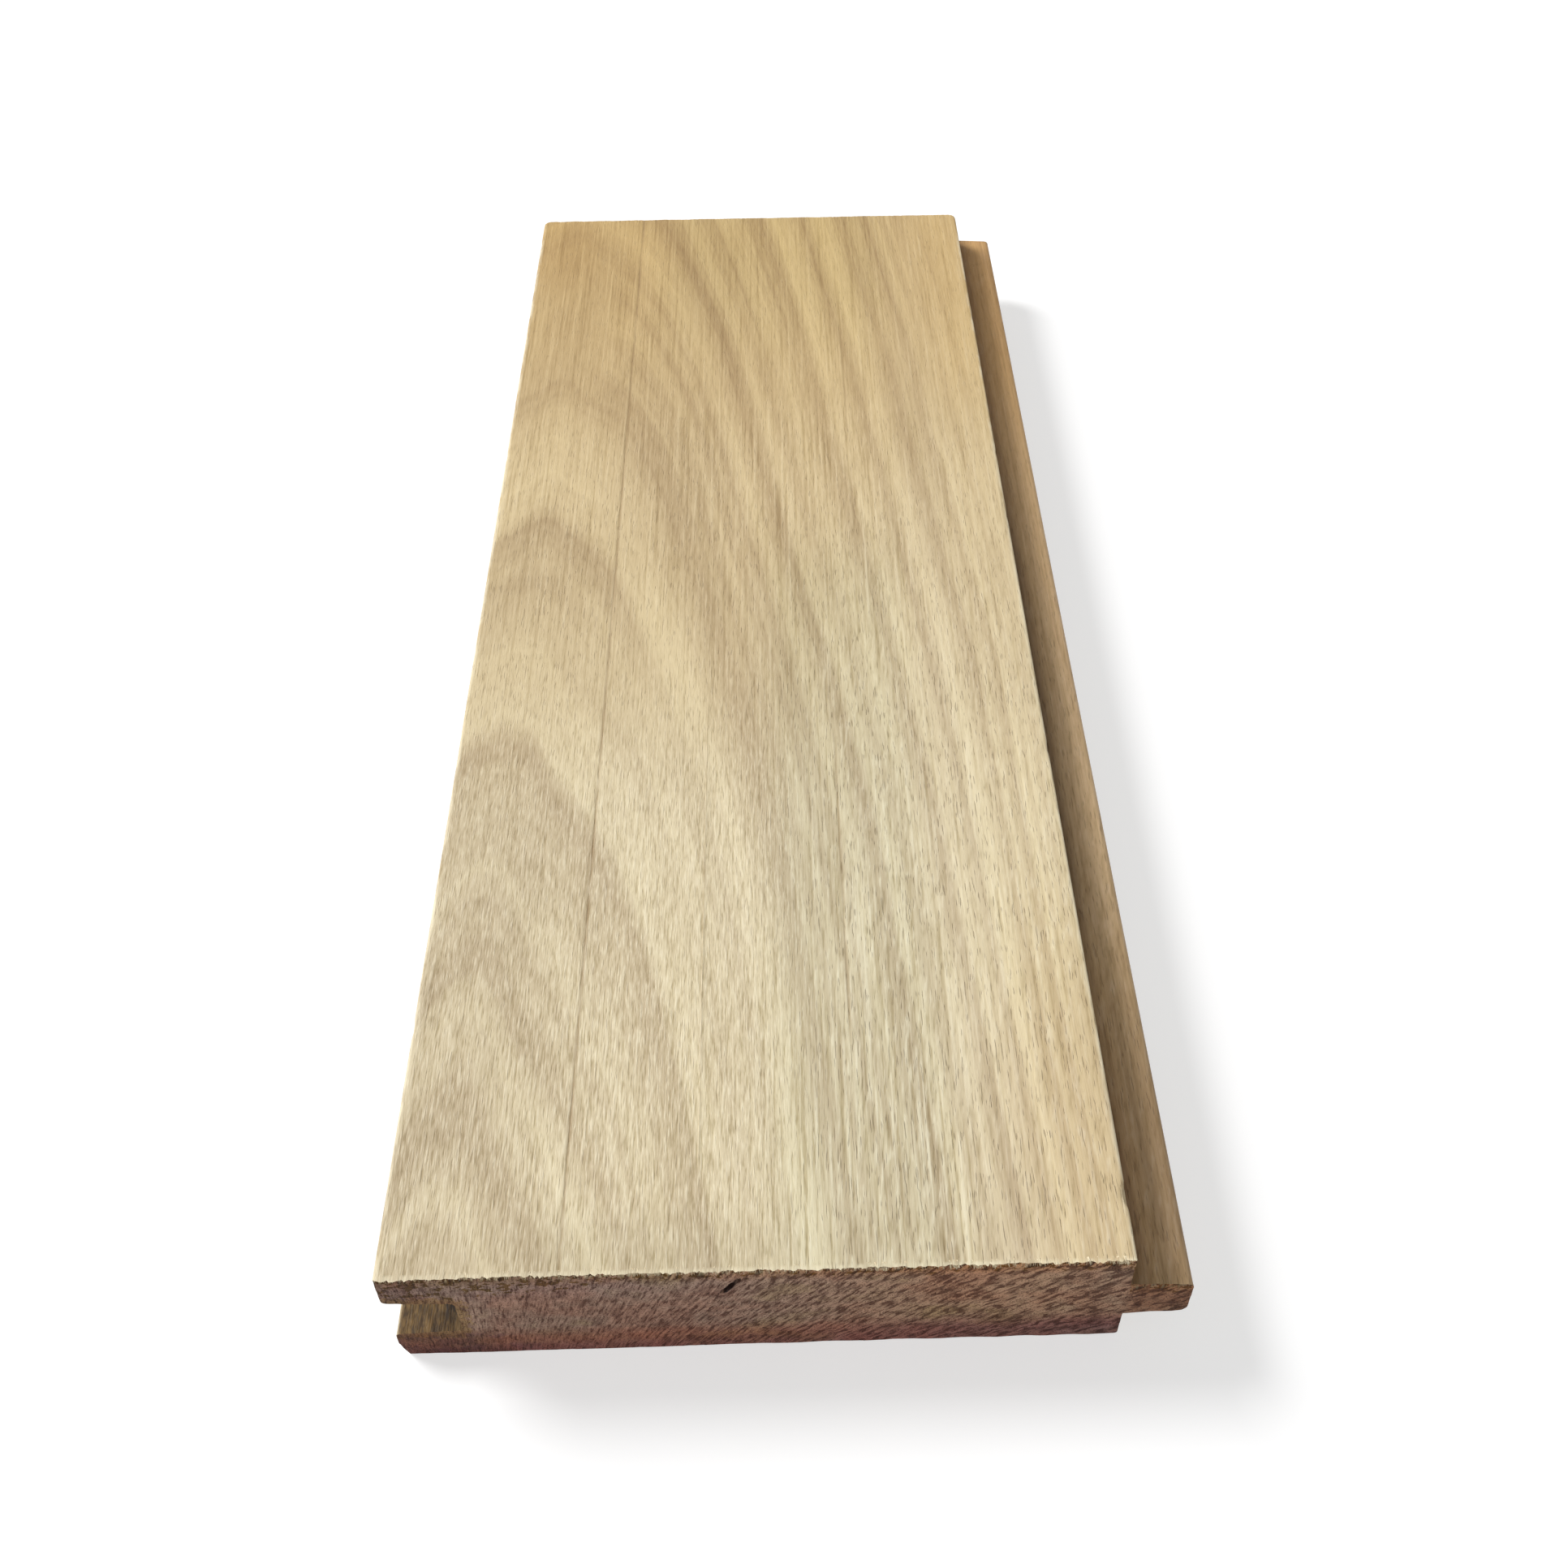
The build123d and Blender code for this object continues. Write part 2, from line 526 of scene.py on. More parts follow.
def planed_wood(finish, size, group):
    """Long grain: the face, the underside and the moulded edges."""
    material, t = new_material("planed_wood")
    place = place_in_mm(t)
    x, y, z = t.parts(place)
    rings, _, flecks, _, streaks, pores = figure_of(t, group, place)
    from_lip = t.less(x, BOARD_LOW[0] / MM)
    along = t.less(y, BOARD_LOW[1] / MM)
    shoulder = (BOARD_HIGH[0] - BOARD_LOW[0] - size.tongue_length) / MM
    middle, half_joint = size.tongue_height / MM, size.tongue_root / 2 / MM

    # The rings are clearest at the far end. The timber is cloudy, and yellower along the tongue.
    clear = t.times(t.fade(from_lip, 24.0, 40.0, 74.0, 84.0), t.span(along, 190.0, 230.0, 0.0, 0.6))
    rings = t.times_plus(t.less(rings, 0.55), clear, rings)
    coat = Coat(t, t.mix(rings, finish.late_wood, finish.early_wood))
    cloud = t.grain(t.scaled(place, (0.05, 0.014, 0.05)), 3.0, 0.55)
    coat.tone(t.span(cloud, 0.62, 0.36), (0.93, 0.92, 0.92))
    yellow = t.span(t.size(t.less(along, 115.0)), 45.0, 80.0, 0.35, 1.0)
    yellow = t.times(yellow, t.span(from_lip, 75.0, 88.0))
    coat.tone(yellow, (1.0, 0.955, 0.86))

    # Under the crowns, at the near left, the fibres dive below the face and are cut short.
    short = t.grain(t.scaled(place, (4.8, 0.42, 4.8)), 2.0, 0.55)
    short = t.times_plus(short, 1.5, -0.25)
    diving = t.times(t.span(from_lip, 62.0, 44.0), t.span(along, 150.0, 70.0))
    flecks = t.times_plus(t.times(t.less(short, flecks), 0.8), diving, flecks)

    # Streaks are strongest in the middle of the near end, flecks at the near end and pores away from the
    # far one.
    rough = t.fade(from_lip, 40.0, 52.0, 68.0, 78.0)
    rough = t.times_plus(rough, t.span(along, 50.0, 15.0, 0.15, 0.7), 1.0)
    rough = t.times_plus(diving, -0.45, rough)
    rough = t.times_plus(t.span(from_lip, 68.0, 78.0), -0.22, rough)
    dark_streak = t.times(t.span(streaks, 0.50, 0.70, 0.0, 0.75), rough)
    coat.tone(dark_streak, (0.74, 0.70, 0.62))
    pale_streak = t.times(t.span(streaks, 0.48, 0.28, 0.0, 0.40), rough)
    coat.paint(pale_streak, PALE_FIBRE_AND_HIGHLIGHT)
    calm = t.times(t.span(along, 10.0, 230.0, 1.22, 0.36), t.span(from_lip, 66.0, 76.0, 1.05, 0.70))
    dark_fleck = t.times(t.span(flecks, 0.50, 0.74, 0.0, 0.64), calm)
    coat.tone(dark_fleck, (0.66, 0.62, 0.53))
    pale_fleck = t.times(t.span(flecks, 0.47, 0.28, 0.0, 0.40), calm)
    coat.paint(pale_fleck, PALE_FIBRE_AND_HIGHLIGHT)
    open_pore = t.times(t.span(pores, 0.60, 0.74), t.span(along, 80.0, 200.0, 1.0, 0.5))
    open_pore = t.times(open_pore, t.times_plus(diving, -0.5, 1.0))
    coat.paint(t.times(open_pore, 0.34), finish.pore)

    # The timber deepens towards the far end, and is a little darker in patches; the patch at the far left
    # is painted shade along that edge.
    deep = t.times(t.span(along, 50.0, 255.0), t.span(from_lip, 64.0, 86.0, 1.0, 0.74))
    coat.tone(deep, finish.far_tone)
    for across, lengthways, tone in FACE_PATCHES:
        patch = t.times(t.fade(from_lip, *across), t.fade(along, *lengthways))
        coat.tone(patch, tone)

    # Knife lines, with painted shade along the nicks, broken along their length.
    for number, (at, start, end, _, dark) in enumerate(KNIFE_LINES):
        breaks = t.grain(t.vector(number * 7.3, t.times(along, 0.07), 0.0), 3.0, 0.6)
        line = t.times(
            t.span(t.size(t.less(from_lip, at)), 0.36, 0.04),
            t.span(z, 19.0, 19.5),
            t.span(breaks, 0.30, 0.60, 0.3 * dark, dark),
            t.fade(along, start - 4.0, start + 4.0, end - 4.0, end + 4.0),
        )
        coat.paint(line, KNIFE_SHADE)

    # The groove's inside is darkened with painted shade, most at its near end, where a painted shadow of
    # the upper lip lies on the lower cheek.
    groove_shade = t.times(
        t.span(t.size(t.less(z, middle)), half_joint + 0.7, half_joint + 0.3),
        t.fade(from_lip, 0.3, 0.8, 9.0, 9.6),
        t.span(along, 60.0, 15.0, 0.55, 1.0),
    )
    torn = t.grain(t.scaled(place, (1.6, 0.35, 1.6)), 3.0, 0.65)
    groove_shade_tone = t.mix(t.span(torn, 0.36, 0.62), (0.085, 0.052, 0.016), (0.31, 0.215, 0.095))
    coat.tone(groove_shade, groove_shade_tone)
    reach = t.add("ShaderNodeVectorMath", operation="LENGTH")
    lip_shadow_place = t.vector(t.times_plus(from_lip, 0.55, -4.1), t.times_plus(along, 0.36, -1.7), 0.0)
    t.feed(reach.inputs[0], lip_shadow_place)
    lip_shadow = t.plus(reach.outputs["Value"], t.swing(torn, 1.2))
    lip_shadow = t.times(groove_shade, t.span(lip_shadow, 1.0, 0.35))
    coat.tone(lip_shadow, (0.22, 0.17, 0.10))

    # The tongue's upper part is toned darker and redder. Painted shade darkens its top along the shoulder,
    # most deeply half way along, and its outer part is darker towards the near end.
    tongue_top = middle + half_joint
    on_tongue = t.times(
        t.span(from_lip, shoulder - 0.4, shoulder - 0.05),
        t.fade(z, middle - 1.0, middle + 2.0, tongue_top - 0.1, tongue_top + 0.3),
    )
    coat.tone(on_tongue, (0.96, 0.82, 0.74))
    corner_shade = t.times(on_tongue, t.span(from_lip, shoulder + 4.5, shoulder + 0.4))
    coat.tone(corner_shade, (0.31, 0.27, 0.23))
    shade = t.times(corner_shade, t.fade(along, 40.0, 70.0, 130.0, 170.0))
    coat.tone(shade, (0.55, 0.52, 0.48))
    near_nose_dark = t.times(on_tongue, t.span(from_lip, shoulder + 2.0, shoulder + 5.0), t.span(along, 75.0, 20.0))
    coat.tone(near_nose_dark, (0.70, 0.70, 0.71))

    # Painted highlights lie along the two upper arrises and along the near edge, where the tips of the torn
    # fibres are pale as well.
    arris_highlight = t.grain(t.scaled(place, (0.9, 0.14, 0.9)), 3.0, 0.6)
    from_edge = t.maths("MINIMUM", from_lip, t.size(t.less(from_lip, shoulder)))
    arris_highlight = t.times(t.span(arris_highlight, 0.38, 0.62), t.span(from_edge, 0.9, 0.15, 0.0, 0.55), t.span(z, 19.0, 19.6))
    coat.paint(arris_highlight, PALE_FIBRE_AND_HIGHLIGHT)
    tips = t.times(t.span(along, 1.4, 0.9, 0.0, 0.5), t.span(z, 19.4, 19.7), t.span(flecks, 0.40, 0.60))
    coat.paint(tips, PALE_FIBRE_AND_HIGHLIGHT)

    height = t.times_plus(open_pore, -1.0, t.times(flecks, -0.9))
    height = t.times_plus(streaks, -0.7, height)
    roughness = t.span(flecks, 0.3, 0.7, 0.58, 0.70)
    finish_surface(t, coat.colour, roughness, height, 0.06 * MM, 0.3)
    return material


def sawn_end(finish, size, group):
    """End grain, as the saw left it."""
    material, t = new_material("sawn_end")
    place = place_in_mm(t)
    x, y, z = t.parts(place)
    rings, rays, flecks, dashes, _, pores = figure_of(t, group, place)
    from_lip = t.less(x, BOARD_LOW[0] / MM)
    far_end = t.maths("GREATER_THAN", y, 0.0)
    near_end = t.less(1.0, far_end)
    middle, half_joint = size.tongue_height / MM, size.tongue_root / 2 / MM

    # Rays and dashes, stronger to the right and calmer on the far end, over mottled and crumbled fibres.
    ray = t.times_plus(rays, 0.45, t.times(flecks, 0.55))
    lines = t.times_plus(t.span(ray, 0.40, 0.60), 0.45, -0.20)
    lines = t.plus(lines, t.span(dashes, 0.54, 0.66, 0.0, -0.55), t.span(dashes, 0.44, 0.32, 0.0, 0.30))
    lines = t.times(lines, t.span(from_lip, 15.0, 70.0, 0.9, 1.9), t.times_plus(far_end, -0.45, 1.0))
    mottle = t.grain(t.scaled(place, (0.55, 0.55, 0.55)), 3.0, 0.6)
    crumbs = t.grain(t.scaled(place, (1.5, 1.5, 1.5)), 3.0, 0.65)
    pale = t.times_plus(rings, 0.14, t.plus(lines, 0.50))
    pale = t.plus(pale, t.swing(mottle, 1.0))
    pale = t.maths("ADD", pale, t.swing(crumbs, 1.0), clamp=True)
    coat = Coat(t, t.mix(pale, finish.end_dark, finish.end_pale))
    stain = t.grain(t.scaled(place, (0.10, 0.10, 0.16)), 3.0, 0.6)
    coat.tone(t.span(stain, 0.42, 0.64, 0.0, 0.8), (1.0, 0.84, 0.80))
    coat.tone(t.span(stain, 0.46, 0.30, 0.0, 0.8), (0.90, 0.94, 0.78))
    open_pore = t.span(pores, 0.57, 0.70)
    coat.tone(t.times(open_pore, 0.75), (0.28, 0.24, 0.20))

    # The tone shifts over the end: greyer at the upper left, browner at the right, darker and redder below
    # with painted shade and a reddish painted reflection, and darker at the left of the lips and in
    # blotches on the lower lip.
    right = t.span(from_lip, 40.0, 75.0)
    coat.tone(right, (1.09, 1.02, 0.88))
    grey = t.times(t.span(from_lip, 50.0, 20.0), t.span(z, 12.0, 17.0))
    coat.tone(grey, (0.97, 1.0, 1.09))
    coat.tone(far_end, (0.90, 0.82, 0.62))
    # Painted shade and a reddish painted reflection from below, towards the bottom.
    low = t.times(t.span(z, 7.0, 3.0, 0.0, 0.9), t.times_plus(far_end, -0.8, 1.0))
    coat.tone(low, t.mix(right, (1.05, 0.71, 0.61), (0.64, 0.46, 0.62)))
    foot = t.times(t.span(z, 3.5, 0.5, 0.0, 0.8), near_end)
    coat.tone(foot, t.mix(right, (0.70, 0.64, 0.88), (1.0, 1.05, 1.10)))
    heel = t.times(t.span(from_lip, 16.0, 9.0), t.span(z, 6.5, 4.0))
    coat.tone(heel, (0.64, 0.70, 0.68))
    lip_blotches = t.times(t.span(from_lip, 24.0, 12.0), t.span(z, 6.5, 4.5), t.span(mottle, 0.48, 0.60))
    coat.tone(lip_blotches, (0.66, 0.62, 0.72))
    lips = t.mix(t.span(z, 4.0, 12.0), (0.92, 0.88, 0.90), (0.78, 0.76, 0.76))
    coat.tone(t.span(from_lip, 9.0, 2.0), lips)
    coat.tone(t.span(from_lip, 80.0, 90.0), (0.87, 0.94, 1.0))
    coat.tone(t.span(from_lip, 91.0, 94.0), (0.75, 0.66, 0.60))

    # The end is toned olive in a ragged band round the groove's mouth.
    past_bed = t.beyond(from_lip, 8.6)
    past_cheek = t.beyond(t.size(t.less(z, middle)), half_joint)
    from_mouth = t.plus(past_bed, past_cheek)
    spread = t.span(t.times_plus(crumbs, -5.0, from_mouth), -0.8, -1.6)
    coat.tone(spread, (0.88, 0.84, 0.56))

    # Under the torn upper edges lies a band, warmer at the right and darker olive at the left as painted
    # shade, with blots of painted shadow and pale hanging fibres.
    edge = t.span(from_lip, 91.8, 92.2, BOARD_HIGH[2] / MM, middle + half_joint)
    below = t.less(t.less(edge, 0.1), z)
    shadow_blots = t.grain(t.scaled(place, (0.62, 0.62, 1.0)), 3.0, 0.6)
    drop = t.times(t.span(shadow_blots, 0.42, 0.64, 0.0, 3.6), t.span(from_lip, 30.0, 16.0, 0.8, 1.7))
    olive = t.mix(t.span(from_lip, 28.0, 18.0), (1.10, 1.02, 0.84), (0.86, 0.80, 0.64))
    coat.tone(t.span(below, 3.2, 1.0), olive)
    coat.tone(t.span(t.less(below, drop), 0.2, -0.7), (0.40, 0.33, 0.16))
    tags = t.grain(t.scaled(place, (1.9, 1.9, 0.8)), 2.0, 0.6)
    tags = t.times(t.span(tags, 0.52, 0.60), t.span(below, 1.7, 0.6))
    tags = t.times(tags, t.span(from_lip, 60.0, 30.0, 0.3, 0.9))
    coat.paint(tags, TORN_DARK)

    # Painted shade makes the inside of the drying check black.
    run = (CHECK_HEAD - CHECK_FOOT).normalized()
    length = (CHECK_HEAD - CHECK_FOOT).length / MM
    half = CHECK_HALF_WIDTH / MM
    from_foot = t.less(x, CHECK_FOOT.x / MM)
    above_foot = t.less(z, CHECK_FOOT.z / MM)
    aside = t.times_plus(from_foot, run.z, t.times(above_foot, -run.x))
    up = t.times_plus(from_foot, run.x, t.times(above_foot, run.z))
    wide = t.span(up, 0.4 * length, length, half + 0.08, 0.35 * half)
    check = t.times(
        t.fade(up, -0.2, 0.4, length - 0.6, length + 0.2),
        t.span(t.less(t.size(aside), wide), 0.1, -0.1),
        near_end,
    )
    coat.tone(check, (0.10, 0.07, 0.07))

    fuzz = t.grain(t.scaled(place, (2.6, 2.6, 2.6)), 3.0, 0.65)
    height = t.times_plus(open_pore, -1.0, t.times(ray, 1.4))
    height = t.times_plus(fuzz, 0.8, height)
    finish_surface(t, coat.colour, t.span(fuzz, 0.3, 0.7, 0.72, 0.86), height, 0.18 * MM, 0.2)
    return material


def fibre_wood():
    """Loose fibres, paler than the face because they scatter the light, and brown on the tongue."""
    material, t = new_material("torn_fibre")
    place = place_in_mm(t)
    top = BOARD_HIGH[2] / MM
    streak = t.grain(t.scaled(place, (6.0, 0.6, 6.0)), 2.0)
    coat = Coat(t, t.mix(t.span(streak, 0.3, 0.7), TORN_DARK, TORN_PALE))
    low = t.span(t.parts(place)[2], top - 3.0, top - 4.0)
    coat.tone(low, (0.36, 0.28, 0.19))
    finish_surface(t, coat.colour, 0.75, streak, 0.02 * MM, 0.2)
    return material


def section_corners(size):
    """The section's corners and their roundings, from the upper lip round by the underside."""
    lip, top = BOARD_LOW[0], BOARD_HIGH[2]
    nose = BOARD_HIGH[0]
    shoulder = nose - size.tongue_length
    lower_lip = lip + size.lip_setback
    bed_depth = size.tongue_length + size.nose_clearance
    bed = lip + bed_depth
    slope = math.tan(size.tongue_taper)
    middle = size.tongue_height

    def tongue(distance):
        return size.tongue_root / 2 - distance * slope

    def groove(distance):
        return tongue(distance) + size.cheek_clearance

    return (
        ((lip, top), size.arris),
        ((lip, middle + groove(0.0)), size.lip_easing),
        ((bed, middle + groove(bed_depth)), size.nose_radius),
        ((bed, middle - groove(bed_depth)), size.nose_radius),
        ((lower_lip, middle - groove(size.lip_setback)), size.lip_easing),
        ((lower_lip, size.lip_bevel_height), 0.0),
        ((lower_lip + size.lip_bevel_width, 0.0), 0.0),
        ((shoulder, 0.0), size.arris),
        ((shoulder, middle - tongue(0.0)), 0.0),
        ((nose, middle - tongue(size.tongue_length)), size.nose_radius),
        ((nose, middle + tongue(size.tongue_length)), size.nose_radius),
        ((shoulder, middle + tongue(0.0)), 0.0),
        ((shoulder, top), size.arris),
    )


def moulded_length(size):
    """The section drawn out to the board's length, with its long edges rounded."""
    near = BOARD_LOW[1] + size.near_trim
    far = BOARD_HIGH[1] - size.far_trim
    corners = section_corners(size)
    bm = bmesh.new()
    outline = bm.faces.new([bm.verts.new((x, near, z)) for (x, z), _ in corners])
    drawn = bmesh.ops.extrude_face_region(bm, geom=[outline])
    moved = [v for v in drawn["geom"] if isinstance(v, bmesh.types.BMVert)]
    bmesh.ops.translate(bm, verts=moved, vec=(0.0, far - near, 0.0))
    bmesh.ops.recalc_face_normals(bm, faces=bm.faces[:])
    for radius, segments in ((size.nose_radius, 4), (size.lip_easing, 3), (size.arris, 3)):
        rounded = [place for place, given in corners if given == radius]
        edges = [e for e in bm.edges if runs_along(e) and any(stands_at(e, p) for p in rounded)]
        bmesh.ops.bevel(
            bm,
            geom=edges,
            offset=radius,
            offset_type="OFFSET",
            segments=segments,
            profile=0.5,
            affect="EDGES",
            material=-1,
        )
    return in_order(bm)


def in_order(bm):
    """A copy with its faces in one order, because a bevel leaves them in another order each time."""
    bm.verts.index_update()
    rings = []
    for face in bm.faces:
        ring = [v.index for v in face.verts]
        start = ring.index(min(ring))
        rings.append(ring[start:] + ring[:start])
    ordered = bmesh.new()
    verts = [ordered.verts.new(v.co) for v in bm.verts]
    for ring in sorted(rings):
        ordered.faces.new([verts[i] for i in ring])
    ordered.normal_update()
    bm.free()
    return ordered


def runs_along(edge):
    """True for an edge that runs along the grain."""
    a, b = edge.verts
    return abs(a.co.y - b.co.y) > 0.5 * (a.co - b.co).length


def stands_at(edge, place):
    """True for an edge along the grain that stands at a corner of the section."""
    at = edge.verts[0].co
    return abs(at.x - place[0]) < 1e-6 and abs(at.z - place[1]) < 1e-6


def cut(bm, place, normal, near=None):
    """Cuts the mesh, or the faces that near picks, along a plane."""
    faces = [f for f in bm.faces if near is None or near(f)]
    edges = dict.fromkeys(e for f in faces for e in f.edges)
    verts = dict.fromkeys(v for f in faces for v in f.verts)
    bmesh.ops.bisect_plane(
        bm,
        geom=[*verts, *edges, *faces],
        dist=0.02 * MM,
        plane_co=place,
        plane_no=normal,
    )


def steps(low, high, pitch):
    """Even steps strictly between two places, about a pitch apart."""
    count = max(1, round((high - low) / pitch))
    return [low + (high - low) * i / count for i in range(1, count)]


def strip_cuts(bm, size):
    """Strips across the board, with the knife lines' own narrow ones, and the check in the near end."""
    lip, nose, top = BOARD_LOW[0], BOARD_HIGH[0], BOARD_HIGH[2]
    for x in steps(lip, nose, size.mesh_pitch):
        cut(bm, (x, 0.0, 0.0), (1.0, 0.0, 0.0))
    for at in sorted({line[0] for line in KNIFE_LINES}):
        for aside in (-0.17, 0.0, 0.17):
            cut(bm, (lip + (at + aside) * MM, 0.0, 0.0), (1.0, 0.0, 0.0))
    below_face = [top - drop * MM for drop in (0.3, 0.6, 1.0, 1.4)]
    for z in [*steps(0.0, top - 1.0 * MM, 0.85 * MM), *below_face]:
        cut(bm, (0.0, 0.0, z), (0.0, 0.0, 1.0))
    bm.normal_update()
    run = (CHECK_HEAD - CHECK_FOOT).normalized()
    aside = Vector((run.z, 0.0, -run.x))
    middle = (CHECK_FOOT + CHECK_HEAD) / 2
    reach = (CHECK_HEAD - CHECK_FOOT).length / 2 + 0.8 * MM

    def by_the_check(face):
        at = face.calc_center_median()
        return face.normal.y < -0.9 and (Vector((at.x, 0.0, at.z)) - middle).length < reach

    for off in (-CHECK_HALF_WIDTH, 0.0, CHECK_HALF_WIDTH):
        cut(bm, middle + aside * off, aside, by_the_check)
    for face in bm.faces:
        face.material_index = 1 if abs(face.normal.y) > 0.9 else 0


def rows_along(bm, size):
    """Rows along the grain, closer together at the two ends, and finer strips at their upper edges."""
    near = BOARD_LOW[1] + size.near_trim
    far = BOARD_HIGH[1] - size.far_trim
    top = BOARD_HIGH[2]
    edges = [e for e in bm.edges if runs_along(e)]
    bmesh.ops.subdivide_edges(bm, edges=edges, cuts=size.rows - 1, use_grid_fill=True)
    for vert in bm.verts:
        t = (vert.co.y - near) / (far - near)
        vert.co.y = near + (far - near) * (t - 0.72 * math.sin(math.tau * t) / math.tau)

    def by_upper_edge(vert):
        from_end = min(vert.co.y - near, far - vert.co.y)
        return from_end < 1.6 * MM and top - vert.co.z < 1.1 * MM

    across = [
        e
        for e in bm.edges
        if all(by_upper_edge(v) for v in e.verts) and abs(e.verts[0].co.x - e.verts[1].co.x) > 0.3 * MM
    ]
    bmesh.ops.subdivide_edges(bm, edges=across, cuts=2, use_grid_fill=True)


def ripple(x, y, z, seed=0.0):
    """Smooth noise between -1 and 1."""
    return noise.noise(Vector((x + 17.3 * seed, y - 5.1 * seed, z + 3.7 * seed)))


def ring_radius(finish, x, y, z):
    """Distance from the pith, in millimetres."""
    across = x - BOARD_LOW[0] / MM - finish.pith_across / MM
    depth = z - BOARD_HIGH[2] / MM + finish.pith_depth / MM
    depth += finish.pith_fall * (y - BOARD_LOW[1] / MM)
    return math.hypot(across, depth)


def ring_paleness(radius):
    """How pale the set-out rings are at a distance from the pith."""
    rings = INNER_RINGS + OUTER_RINGS
    for (low, pale), (high, next_pale) in zip(rings, rings[1:]):
        if low <= radius < high:
            return pale + (next_pale - pale) * (radius - low) / (high - low)
    return 0.5


def teeth(x, seed):
    """How far the torn edge stands out at a place across the board, from 0 to about 1."""
    stand = 0.45 + 0.25 * ripple(x * 0.4, 0.0, 0.0, seed)
    stand += 0.50 * ripple(x * 1.7, 0.0, 0.0, seed + 1) + 0.60 * ripple(x * 3.2, 0.0, 0.0, seed + 2)
    return min(1.0, max(0.0, stand))


def weather(bm, size, finish):
    """Raised grain, knife lines, saw marks and torn edges, all inside the stock."""
    lip, top = BOARD_LOW[0] / MM, BOARD_HIGH[2] / MM
    near = (BOARD_LOW[1] + size.near_trim) / MM
    far = (BOARD_HIGH[1] - size.far_trim) / MM
    run = (CHECK_HEAD - CHECK_FOOT) / MM
    check_length = run.length
    run.normalize()
    shifts = {}
    for vert in bm.verts:
        x, y, z = vert.co / MM
        shift = Vector()
        from_near, from_far, from_top = y - near, far - y, top - z
        on_end = min(from_near, from_far) < TOUCH
        if from_top < 1e-3:
            # The planed face: late wood stands a little proud of the early wood.
            pale = ring_paleness(ring_radius(finish, x, y, z))
            shift.z -= GRAIN_RISE * pale + 0.010 * ripple(x * 0.5, y * 0.08, 0.0, 1)
            for at, start, end, stand, _ in KNIFE_LINES:
                if abs(x - lip - at) < 0.03 and start <= from_near <= end:
                    shift.z += stand * (0.75 + 0.45 * ripple(at, y * 0.06, 0.0, 2))
        elif z < 1e-3:
            shift.z += 0.02 + 0.02 * ripple(x * 0.35, y * 0.05, 3.0, 3)
        elif not on_end:
            inward = vert.normal * -1.0
            shift += inward * (0.02 + 0.02 * ripple(x * 0.7, y * 0.06, z * 0.7, 4))
        shift.z -= 0.07 * max(0.0, 1.0 - from_top / 0.5)
        if from_near < TOUCH:
            # Saw marks sweep over the end in flat arcs.
            arc = math.hypot(x + 30.0, z + 160.0)
            waver = 1.2 * ripple(x * 0.1, z * 0.1, 0.0, 5)
            shift.y += 0.05 + SAW_MARK * math.sin(arc * math.tau / NEAR_SAW_PITCH + waver)
            shift.y += 0.07 * abs(ripple(x * 1.1, z * 1.1, 0.0, 6))
            # The end was sawn a little out of square.
            lean = (0.71 - 0.0027 * (x - lip)) * from_top / top
            shift.y -= 0.15 * max(0.0, 1.0 - (x - lip) / 60.0) + lean
            from_foot = Vector((x, 0.0, z)) - CHECK_FOOT / MM
            share = from_foot.dot(run) / check_length
            if 0.0 < share < 1.0 and (from_foot - run * share * check_length).length < 0.02:
                shift.y += CHECK_DEPTH / MM * min(1.0, 4.0 * share * (1.0 - share) + 0.25)
        elif from_far < TOUCH:
            arc = math.hypot(x - 40.0, z + 150.0)
            shift.y -= 0.05 + SAW_MARK * math.sin(arc * math.tau / FAR_SAW_PITCH)
            shift.y -= 0.06 * abs(ripple(x * 1.1, z * 1.1, 0.0, 7))
        for from_end, outward, room, seed in (
            (from_near, -1.0, 0.58 * size.near_trim / MM, 8),
            (from_far, 1.0, 0.40 * size.far_trim / MM, 12),
        ):
            # The saw tears the upper edge into teeth, with bites between them and a hollow below.
            if from_end < TEAR_LENGTH and from_top < TEAR_DEPTH:
                tooth = teeth(x, seed)
                fade = (1.0 - from_end / TEAR_LENGTH) ** 2 * (1.0 - from_top / TEAR_DEPTH) ** 2
                shift.y += outward * room * tooth * fade
                shift.z -= 0.5 * room * max(0.0, 0.45 - tooth) * fade
            if from_end < TOUCH and 0.05 < from_top < HOLLOW_DEPTH:
                hollow = math.sin(math.pi * from_top / HOLLOW_DEPTH)
                shift.y -= outward * hollow * (0.10 + 0.18 * abs(ripple(x * 1.3, z * 1.3, 0.0, seed + 3)))
        shifts[vert] = shift
    for vert, shift in shifts.items():
        vert.co += shift * MM


def knock_corners(bm, size):
    """Rounds the two far corners of the upper half, as handling does."""
    radius = 1.8 * MM
    far = BOARD_HIGH[1] - size.far_trim
    shoulder = BOARD_HIGH[0] - size.tongue_length
    middle = size.tongue_height
    for side, sign in ((BOARD_LOW[0], -1.0), (shoulder, 1.0)):
        centre = Vector((side - sign * radius, far - radius))
        for vert in bm.verts:
            if vert.co.z < middle + size.tongue_root / 2:
                continue
            out = Vector((vert.co.x, vert.co.y)) - centre
            if out.x * sign > 0.0 and out.y > 0.0 and out.length > radius and abs(out.x) < 1.01 * radius:
                out = out.normalized() * radius + centre
                vert.co.x, vert.co.y = out


